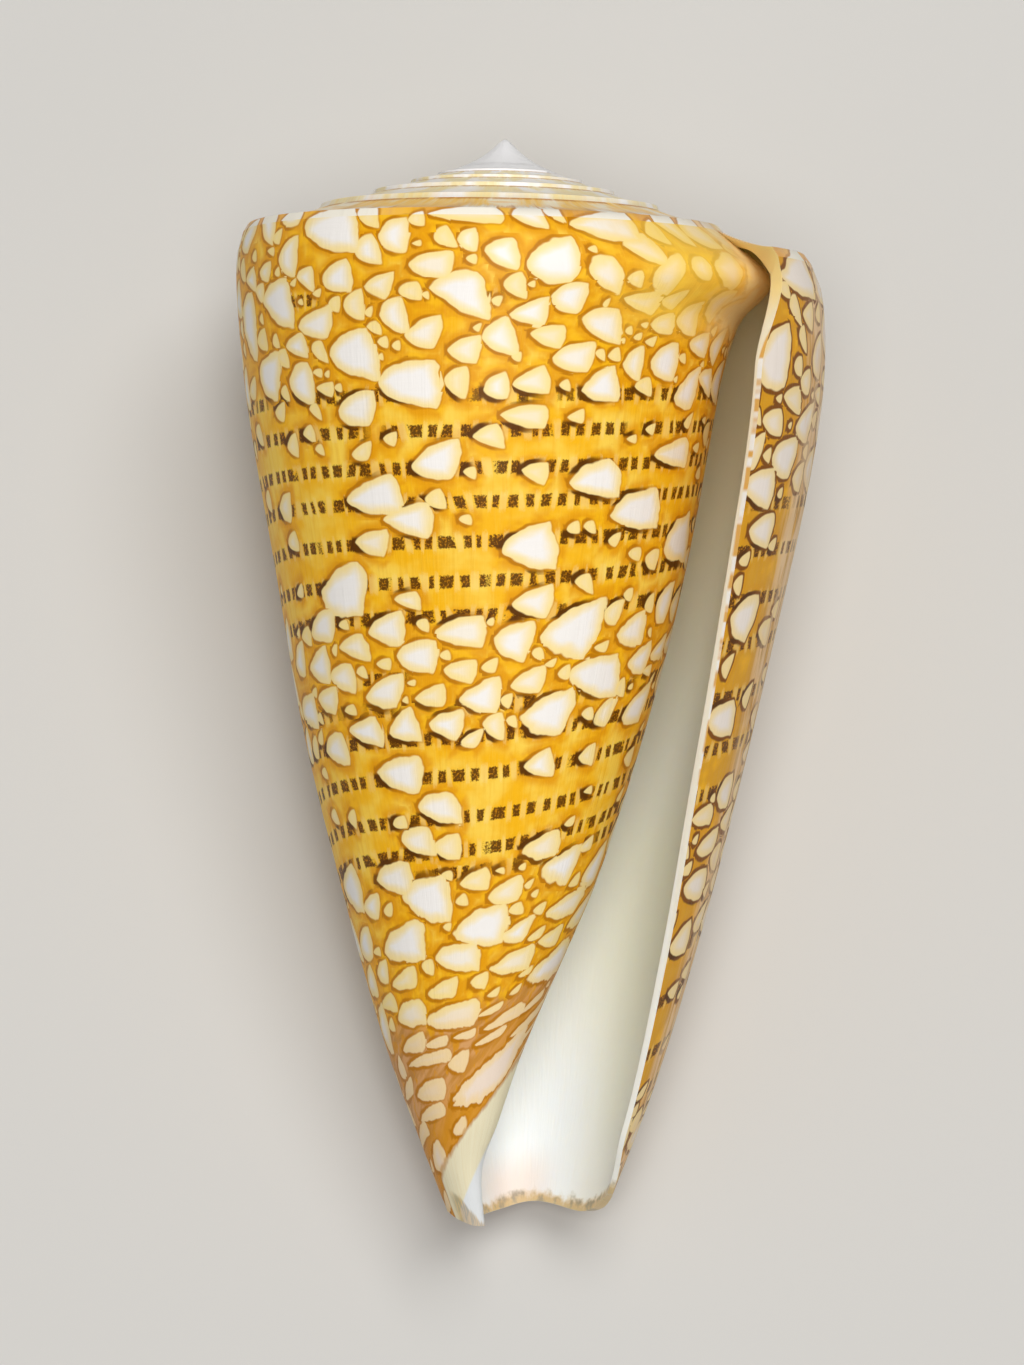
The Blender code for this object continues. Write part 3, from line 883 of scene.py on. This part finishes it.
def draw_tent(n, name, wobble_a, wobble_b):
    """How far outside a tent a place is, in millimetres, and how near it is to the tent's nose."""
    a, b, half_height = n.parts(n.attribute(name))
    half_width, bluntness, bend = n.parts(n.attribute(name + "_form"))
    a = n.sum(a, wobble_a)
    b = n.sum(b, wobble_b)
    t = n.linear(a, 0.5, 0.5, clamp=True)
    curve = n.math("POWER", t, bluntness)
    middle = n.product(bend, t)
    from_middle = n.math("ABSOLUTE", n.minus(b, middle))
    gap = n.sum(n.minus(n.math("POWER", from_middle, CORNER_POWER), 1.0), curve)
    steepness = n.math("DIVIDE", CORNER_POWER, half_height)
    rise = n.product(n.math("POWER", from_middle, CORNER_POWER - 1), steepness)
    run = n.product(n.math("POWER", t, n.minus(bluntness, 1.0)), bluntness)
    run = n.math("DIVIDE", run, n.product(half_width, 2.0))
    slope = n.math("SQRT", n.sum(n.product(rise, rise), n.linear(run, run, FLAT_SLOPE)))
    curved = n.math("DIVIDE", gap, slope)
    bulge = n.linear(n.product(b, b), BACK_BULGE, -BACK_BULGE)
    straight = n.product(n.minus(bulge, n.sum(a, TENT_BACK)), half_width)
    nose = n.product(n.minus(a, 1.0), half_width)
    body = n.math("SMOOTH_MAX", curved, straight, CORNER_BLEND)
    return n.math("MAXIMUM", body, nose), a


class Surface:
    """What the outside's markings share: places, grain, and the nearest tent."""

    def __init__(self, n):
        self.n = n
        self.turn, self.grown, self.past_fold = n.parts(n.attribute("flow"))
        self.run, self.off_line, self.strength = n.parts(n.attribute("dash"))
        self.off = n.math("ABSOLUTE", self.off_line)
        self.growth_lines = self.grain(2.6, 0.12, detail=4.0, roughness=0.6)
        self.fine_lines = self.grain(7.5, 0.35)
        self.mottle = self.grain(0.32, 0.32, detail=3.0)
        self.patches = self.grain(0.75, 0.75, seed=4.0)
        self.find_tent(n)

    def grain(self, by_turn, by_grown, seed=0.0, detail=2.0, roughness=0.5):
        """Noise that is stretched along or across the growth lines."""
        return self.n.stretched_noise(self.turn, self.grown, by_turn, by_grown, seed, detail, roughness)

    def find_tent(self, n):
        wander = n.linear(self.grain(0.55, 0.55, seed=8.0), 0.5, -0.25)
        drift = n.linear(self.grain(0.55, 0.55, seed=12.0), 0.5, -0.25)
        one, one_a = draw_tent(n, "tent", wander, drift)
        other, other_a = draw_tent(n, "other_tent", drift, wander)
        first = n.math("LESS_THAN", one, other)
        white_one, _, _ = n.parts(n.attribute("tent_white"))
        white_other, _, _ = n.parts(n.attribute("other_tent_white"))
        self.distance = n.math("MINIMUM", one, other)
        self.whiteness = n.choose(first, white_one, white_other)
        self.growing_side = n.step(n.choose(first, one_a, other_a), -0.85, 0.2)


def gold_ground(n, s):
    """Gold with growth lines and paler and deeper patches, orange between the tents of a zone."""
    colour = n.mix(n.step(s.mottle, 0.36, 0.64), GOLD, PALE_GOLD)
    colour = n.tint(colour, DEEP_GOLD, n.step(s.growth_lines, 0.46, 0.72), 0.4)
    colour = n.tint(colour, PALE_GOLD, n.step(s.fine_lines, 0.52, 0.75), 0.2)
    crowded = n.product(n.step(s.distance, 0.7, 0.15), 0.9)
    between = n.mix(n.step(s.patches, 0.46, 0.66), NET_ORANGE, GOLD)
    return n.tint(colour, between, crowded)


def dashed_lines(n, s, colour):
    """Rows of dark woven blocks, with pale gaps between them that reach past the row."""
    shift = n.linear(n.stretched_noise(s.run, 3.0, 0.6, 1.0), 2.2, -1.1)
    slant = n.linear(n.stretched_noise(s.run, 7.0, 0.35, 1.0), 2.4, -1.2)
    shift = n.linear(slant, s.off_line, shift)
    cell = n.math("FRACT", n.math("DIVIDE", n.sum(s.run, shift), DASH_PERIOD))
    weave = n.stretched_noise(s.run, s.off_line, 6.5, 6.5, detail=2.0, roughness=0.7)
    ragged = n.linear(weave, 0.3, -0.15)
    from_block = n.math("ABSOLUTE", n.minus(cell, 0.34))
    width = n.step(n.sum(from_block, ragged), 0.31, 0.22)
    height = n.step(n.sum(s.off, ragged), 0.39, 0.28)
    faintness = n.linear(s.strength, 0.4, -0.4)
    unbroken = n.sum(n.stretched_noise(s.run, 9.0, 0.16, 1.0), faintness)
    present = n.step(unbroken, 0.26, 0.34)
    pale_height = n.step(n.sum(s.off, n.product(weave, 0.5)), 0.95, 0.55)
    pale_width = n.step(n.math("ABSOLUTE", n.minus(cell, 0.84)), 0.2, 0.1)
    pale = n.product(pale_width, pale_height, present, 0.42)
    colour = n.tint(colour, TENT_GLOW, pale)
    dash = n.product(width, height, present)
    return n.tint(colour, n.mix(n.step(weave, 0.5, 0.64), CHOCOLATE, BROWN_LINE_AND_SHADOW), dash, 0.95)


def tent_marks(n, s, colour):
    """Tents with a brown edge, thickest on the growing side and dark where it meets a dashed line."""
    near_lip = n.step(s.turn, 16.0, 9.0)
    heavier = n.linear(near_lip, 0.06, 0.01)
    thickness = n.linear(s.growing_side, 0.1, heavier)
    edge = n.minus(1.0, n.step(n.minus(s.distance, thickness), -0.04, 0.08))
    strongest = n.math("MAXIMUM", n.linear(s.growing_side, 0.5, 0.42), near_lip)
    edge = n.product(edge, strongest)
    line = n.mix(near_lip, BROWN_LINE_AND_SHADOW, LIP_LINE)
    colour = n.tint(colour, line, edge)
    by_line = n.product(n.step(s.off, 0.58, 0.34), n.step(s.strength, 0.3, 0.6))
    wing = n.product(n.step(s.distance, 0.25, 0.14), by_line, s.growing_side, 0.95)
    colour = n.tint(colour, CHOCOLATE, wing)
    fill = n.mix(n.step(s.whiteness, 0.2, 0.8), TENT_CREAM, TENT_WHITE)
    fill = n.tint(fill, TENT_GLOW, n.step(s.distance, -1.0, -0.08), 0.9)
    by_front_end = n.product(n.step(s.grown, 64.5, 68.5), 0.55)
    pink = n.math("MAXIMUM", by_front_end, n.product(n.step(s.turn, 14.0, 4.0), 0.25))
    fill = n.tint(fill, TENT_PINK, pink)
    return n.tint(colour, fill, n.step(s.distance, -0.02, -0.12))


def newest_shell(n, s, colour):
    """Just behind the lip the ground is ochre, then beige with dark growth streaks."""
    streaks = s.grain(1.5, 0.16, seed=7.0, detail=3.0, roughness=0.6)
    off_tents = n.step(s.distance, 0.1, 0.2)
    ochre = n.product(n.step(s.turn, 12.0, 5.0), off_tents, n.step(s.mottle, 0.3, 0.5), 0.85)
    colour = n.tint(colour, LIP_OCHRE, ochre)
    beige_zone = n.product(n.step(s.turn, 3.0, 4.8), n.step(s.turn, 12.0, 8.5))
    colour = n.tint(colour, LIP_BEIGE, beige_zone, n.step(streaks, 0.42, 0.56), 0.8)
    dark = n.product(beige_zone, n.step(streaks, 0.56, 0.44), n.step(s.fine_lines, 0.35, 0.6), 0.6)
    return n.tint(colour, LIP_DARK, dark)


def lip_veil(n, s, colour):
    """A thin beige layer that dulls the markings behind the lip."""
    streaks = s.grain(1.2, 0.3, seed=15.0, detail=3.0, roughness=0.6)
    zone = n.product(n.step(s.turn, 3.2, 5.4), n.step(s.turn, 12.0, 9.0))
    return n.tint(colour, LIP_BEIGE, zone, n.step(streaks, 0.38, 0.6), 0.65)


def front_end(n, s, colour):
    """The ground turns pinkish brown towards the front end, and orange beside the columella's fold."""
    ragged = n.linear(s.mottle, 4.0, s.grown)
    orange = n.math("MAXIMUM", n.step(s.past_fold, -2.1, -0.4), n.step(s.patches, 0.52, 0.66))
    slanting = n.linear(s.turn, 0.35, s.grown)
    streaks = n.stretched_noise(slanting, s.turn, 1.0, 0.15, detail=3.0)
    brown = n.mix(n.step(streaks, 0.4, 0.6), FRONT_END_BROWN, FRONT_END_PINK)
    ground = n.mix(n.product(orange, 0.85), brown, FRONT_END_ORANGE)
    return n.tint(colour, ground, n.step(ragged, 67.2, 69.2), 0.92)


def glazed(n, s, colour):
    """The callus at the aperture's top, the cream fold of the columella, and the glaze deep inside."""
    rough_edge = n.linear(s.patches, 5.0, s.turn)
    high_up = n.step(n.linear(s.mottle, 3.0, s.grown), 18.6, 15.6)
    veiled = n.product(n.step(rough_edge, 76.0, 83.0), high_up, 0.6)
    colour = n.tint(colour, PALE_GOLD, veiled)
    callus_here = n.product(n.step(rough_edge, 84.5, 88.5), high_up)
    shade = n.mix(n.step(s.patches, 0.35, 0.6), CALLUS_PEACH, CALLUS_PALE)
    colour = n.tint(colour, shade, callus_here)
    smudge = n.product(callus_here, n.step(s.mottle, 0.46, 0.58), n.step(s.grown, 10.6, 8.6), 0.5)
    colour = n.tint(colour, BROWN_LINE_AND_SHADOW, smudge)
    wavering = n.linear(s.patches, 0.2, n.minus(s.past_fold, 0.08))
    streaked = n.mix(n.product(n.step(s.growth_lines, 0.4, 0.7), 0.5), FOLD_CREAM, FOLD_SHADE)
    colour = n.tint(colour, streaked, n.step(wavering, -0.02, 0.06))
    # Painted shadow: a thin brown line along the fold's near edge.
    line = n.product(n.step(wavering, -0.1, 0.0), n.step(wavering, 0.14, 0.04), 0.55)
    colour = n.tint(colour, BROWN_LINE_AND_SHADOW, line)
    colour = n.tint(colour, FOLD_WHITE, n.step(s.past_fold, 0.96, 1.06))
    shrinking = n.math("EXPONENT", n.product(s.turn, -GROWTH / STREAK_RADIUS))
    depth = n.linear(s.mottle, 1.0, n.product(s.grown, shrinking))
    rim = n.product(n.step(depth, 61.9, 62.3), n.step(s.past_fold, 0.2, 0.8), 0.6)
    colour = n.tint(colour, n.mix(n.step(s.patches, 0.4, 0.55), RIM_OLIVE, RIM_OCHRE), rim)
    return n.tint(colour, INSIDE_WHITE, n.step(s.turn, 93.5, 96.0))


def outside_material():
    """The whorl's side, with all its markings, the front end, the lip's back and the columella's fold."""
    n = Nodes("shell_outside")
    s = Surface(n)
    colour = gold_ground(n, s)
    colour = front_end(n, s, colour)
    colour = newest_shell(n, s, colour)
    colour = dashed_lines(n, s, colour)
    colour = tent_marks(n, s, colour)
    colour = lip_veil(n, s, colour)
    colour = glazed(n, s, colour)
    spiral_lines = s.grain(0.3, 3.2)
    relief = n.linear(s.fine_lines, 0.6, n.linear(spiral_lines, 0.4, s.growth_lines))
    n.bump(relief, 0.00006, 0.5)
    return n.result(colour, 0.40, 0.08, 0.03)


def spire_material():
    """Cream with gold and white patches, paler on the older whorls, and gold with tents by the shoulder."""
    n = Nodes("shell_spire")
    s = Surface(n)
    turn, across = s.turn, s.past_fold
    whorls_back = n.math("DIVIDE", turn, 2 * math.pi * STREAK_RADIUS)
    blotches = n.stretched_noise(turn, across, 0.32, 0.9)
    flames = n.stretched_noise(turn, across, 0.62, 0.7, seed=4.0, detail=3.0)
    grain = n.stretched_noise(turn, across, 3.0, 1.5, detail=3.0, roughness=0.6)
    spiral_lines = n.stretched_noise(turn, across, 0.35, 6.0, seed=2.0, detail=3.0)
    colour = n.mix(n.step(grain, 0.4, 0.65), PALE_GOLD, SPIRE_CREAM)
    colour = n.tint(colour, SPIRE_FLAME, n.step(flames, 0.57, 0.66), 0.45)
    colour = n.tint(colour, SPIRE_WHITE, n.step(blotches, 0.45, 0.6), 0.7)
    colour = n.tint(colour, GOLD, n.step(spiral_lines, 0.56, 0.66), 0.55)
    newest = n.step(whorls_back, 1.1, 1.0)
    colour = n.tint(colour, GOLD, newest, n.step(blotches, 0.64, 0.42), 0.6)
    near_shoulder = n.product(n.step(n.linear(grain, 0.8, across), 0.75, 1.15), newest)
    shoulder_ground = n.mix(n.step(flames, 0.42, 0.6), NET_ORANGE, GOLD)
    colour = n.tint(colour, shoulder_ground, near_shoulder, 0.85)
    colour = n.tint(colour, BROWN_LINE_AND_SHADOW, n.step(s.distance, 0.16, 0.03), near_shoulder, 0.8)
    colour = n.tint(colour, SPIRE_WHITE, n.step(s.distance, -0.02, -0.12), near_shoulder)
    early = n.step(n.linear(grain, 0.4, whorls_back), 0.9, 2.4)
    early_colour = n.mix(n.step(blotches, 0.42, 0.6), APEX_CREAM, APEX_WHITE)
    colour = n.tint(colour, early_colour, early, 0.85)
    from_suture = n.linear(grain, 0.1, across)
    broken = n.step(flames, 0.34, 0.5)
    suture_line = n.mix(newest, SPIRE_FLAME, BROWN_LINE_AND_SHADOW)
    colour = n.tint(colour, suture_line, n.step(from_suture, 0.17, 0.08), broken, 0.85)
    colour = n.tint(colour, APEX_WHITE, n.step(whorls_back, 3.9, 4.1))
    n.bump(grain, 0.00008, 0.6)
    return n.result(colour, 0.42, 0.5, 0.12)


def inside_material():
    """Grey-beige high in the aperture, white and faintly yellow below, with a ragged ochre front edge."""
    n = Nodes("shell_inside")
    turn, depth, from_end = n.parts(n.attribute("flow"))
    cloud = n.stretched_noise(turn, depth, 0.1, 0.1)
    fine = n.stretched_noise(turn, depth, 3.0, 0.5, detail=3.0, roughness=0.6)
    spots = n.stretched_noise(turn, depth, 0.4, 0.9, seed=3.0, detail=3.0, roughness=0.6)
    # Painted shade: the inside is darker towards the top of the aperture, where the slit is deep.
    colour = n.mix(n.step(depth, 12.0, 40.0), INSIDE_SHADE_AND_GRAIN, INSIDE_WHITE)
    from_band = n.math("ABSOLUTE", n.minus(turn, 17.0))
    yellow = n.product(n.step(from_band, 8.0, 1.0), n.step(depth, 34.0, 42.0), n.step(depth, 60.0, 54.0))
    colour = n.tint(colour, INSIDE_YELLOW, yellow, 0.4)
    cool = n.product(n.step(depth, 46.0, 57.0), n.step(turn, 12.0, 26.0), n.linear(cloud, 0.6, 0.5))
    colour = n.tint(colour, INSIDE_COOL, cool)
    from_blush = n.math("ABSOLUTE", n.minus(turn, 31.0))
    blush = n.product(n.step(from_end, 3.6, 1.2), n.step(from_blush, 10.0, 2.0), 0.6)
    colour = n.tint(colour, INSIDE_BLUSH, blush)
    colour = n.tint(colour, INSIDE_SHADE_AND_GRAIN, n.step(fine, 0.45, 0.7), 0.06)
    ragged = n.linear(spots, 1.6, from_end)
    ochre = n.mix(n.step(spots, 0.34, 0.5), RIM_OLIVE, RIM_OCHRE)
    colour = n.tint(colour, ochre, n.step(ragged, 1.6, 1.0), 0.8)
    colour = n.tint(colour, LIP_EDGE, n.step(turn, 0.8, 0.3), 0.5)
    outer_side = n.step(n.linear(fine, 0.4, turn), -0.05, -0.3)
    along_edge = n.stretched_noise(depth, 0.0, 0.55, 1.0, seed=6.0)
    edge_colour = n.mix(n.step(along_edge, 0.47, 0.53), LIP_OCHRE, TENT_WHITE)
    colour = n.tint(colour, edge_colour, outer_side, 0.85)
    colour = n.tint(colour, CALLUS_PEACH, n.step(depth, 11.0, 8.5), n.step(turn, 16.0, 9.0))
    n.bump(fine, 0.00005, 0.4)
    depth_of_light = (
        ("Subsurface Weight", 0.35), ("Subsurface Radius", (1.0, 0.85, 0.65)), ("Subsurface Scale", 0.0016),
    )
    return n.result(colour, 0.38, 0.4, 0.1, depth_of_light)


def floor_material():
    n = Nodes("floor")
    n.shader.inputs["Base Color"].default_value = (*FLOOR_COLOUR, 1.0)
    n.shader.inputs["Roughness"].default_value = 0.9
    return n.material


def make_floor():
    mesh = bpy.data.meshes.new("floor")
    reach = 1.2
    corners = [(-reach, -reach, 0), (reach, -reach, 0), (reach, reach, 0), (-reach, reach, 0)]
    mesh.from_pydata(corners, [], [(0, 1, 2, 3)])
    floor = bpy.data.objects.new("floor", mesh)
    floor.location.z = -0.0002
    mesh.materials.append(floor_material())
    bpy.context.scene.collection.objects.link(floor)


def area_light(name, place, target, size, power, colour=(1.0, 1.0, 1.0)):
    data = bpy.data.lights.new(name, "AREA")
    data.shape = "DISK"
    data.size = size
    data.energy = power
    data.color = colour
    light = bpy.data.objects.new(name, data)
    light.location = place
    light.rotation_euler = (target - place).to_track_quat("-Z", "Y").to_euler()
    bpy.context.scene.collection.objects.link(light)


def make_lights(target):
    over = (seat().to_3x3() @ Vector((0, 0, 1))).normalized()
    area_light("key", target + Vector((0.10, 0.20, 0.62)), target, 0.40, 2.3, (1.0, 0.985, 0.96))
    area_light("front", target + over * 0.8, target, 0.36, 3.1, (1.0, 0.99, 0.97))
    area_light("fill", target + Vector((-0.45, -0.12, 0.42)), target, 0.6, 0.22, (0.97, 0.985, 1.0))
    area_light("low", target + Vector((0.35, -0.5, 0.25)), target, 0.5, 0.32)
    world = bpy.data.worlds.new("studio")
    world.use_nodes = True
    world.node_tree.nodes["Background"].inputs["Color"].default_value = (1.0, 1.0, 1.0, 1.0)
    world.node_tree.nodes["Background"].inputs["Strength"].default_value = 0.11
    bpy.context.scene.world = world
    bpy.context.scene.view_settings.view_transform = "Standard"


def make_camera(target):
    """Looks squarely at the side with the aperture, with the shell leaning as it does in the photograph."""
    seated = seat().to_3x3()
    back = (seated @ Vector((0, 0, 1))).normalized()
    lean_angle = math.radians(FRONT_LEAN)
    up = (seated @ Vector((-math.sin(lean_angle), math.cos(lean_angle), 0))).normalized()
    right = up.cross(back).normalized()
    data = bpy.data.cameras.new("camera")
    data.lens = LENS
    data.sensor_width = SENSOR
    camera = bpy.data.objects.new("camera", data)
    turn = Matrix((right, up, back)).transposed().to_4x4()
    camera.matrix_world = Matrix.Translation(target + back * CAMERA_DISTANCE) @ turn
    bpy.context.scene.collection.objects.link(camera)
    bpy.context.scene.camera = camera


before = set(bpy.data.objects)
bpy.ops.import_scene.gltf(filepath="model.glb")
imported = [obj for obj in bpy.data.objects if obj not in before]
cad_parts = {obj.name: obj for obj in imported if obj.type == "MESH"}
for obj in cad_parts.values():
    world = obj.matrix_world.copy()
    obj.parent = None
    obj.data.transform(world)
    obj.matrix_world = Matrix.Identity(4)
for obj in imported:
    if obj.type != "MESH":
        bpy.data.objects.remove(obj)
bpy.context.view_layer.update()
shell = make_shell()
shell.data.materials.append(outside_material())
shell.data.materials.append(spire_material())
shell.data.materials.append(inside_material())
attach(shell, "root")
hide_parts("shell")
middle = seat() @ Vector(LOOK_AT) * MM
make_floor()
make_lights(middle)
make_camera(middle)
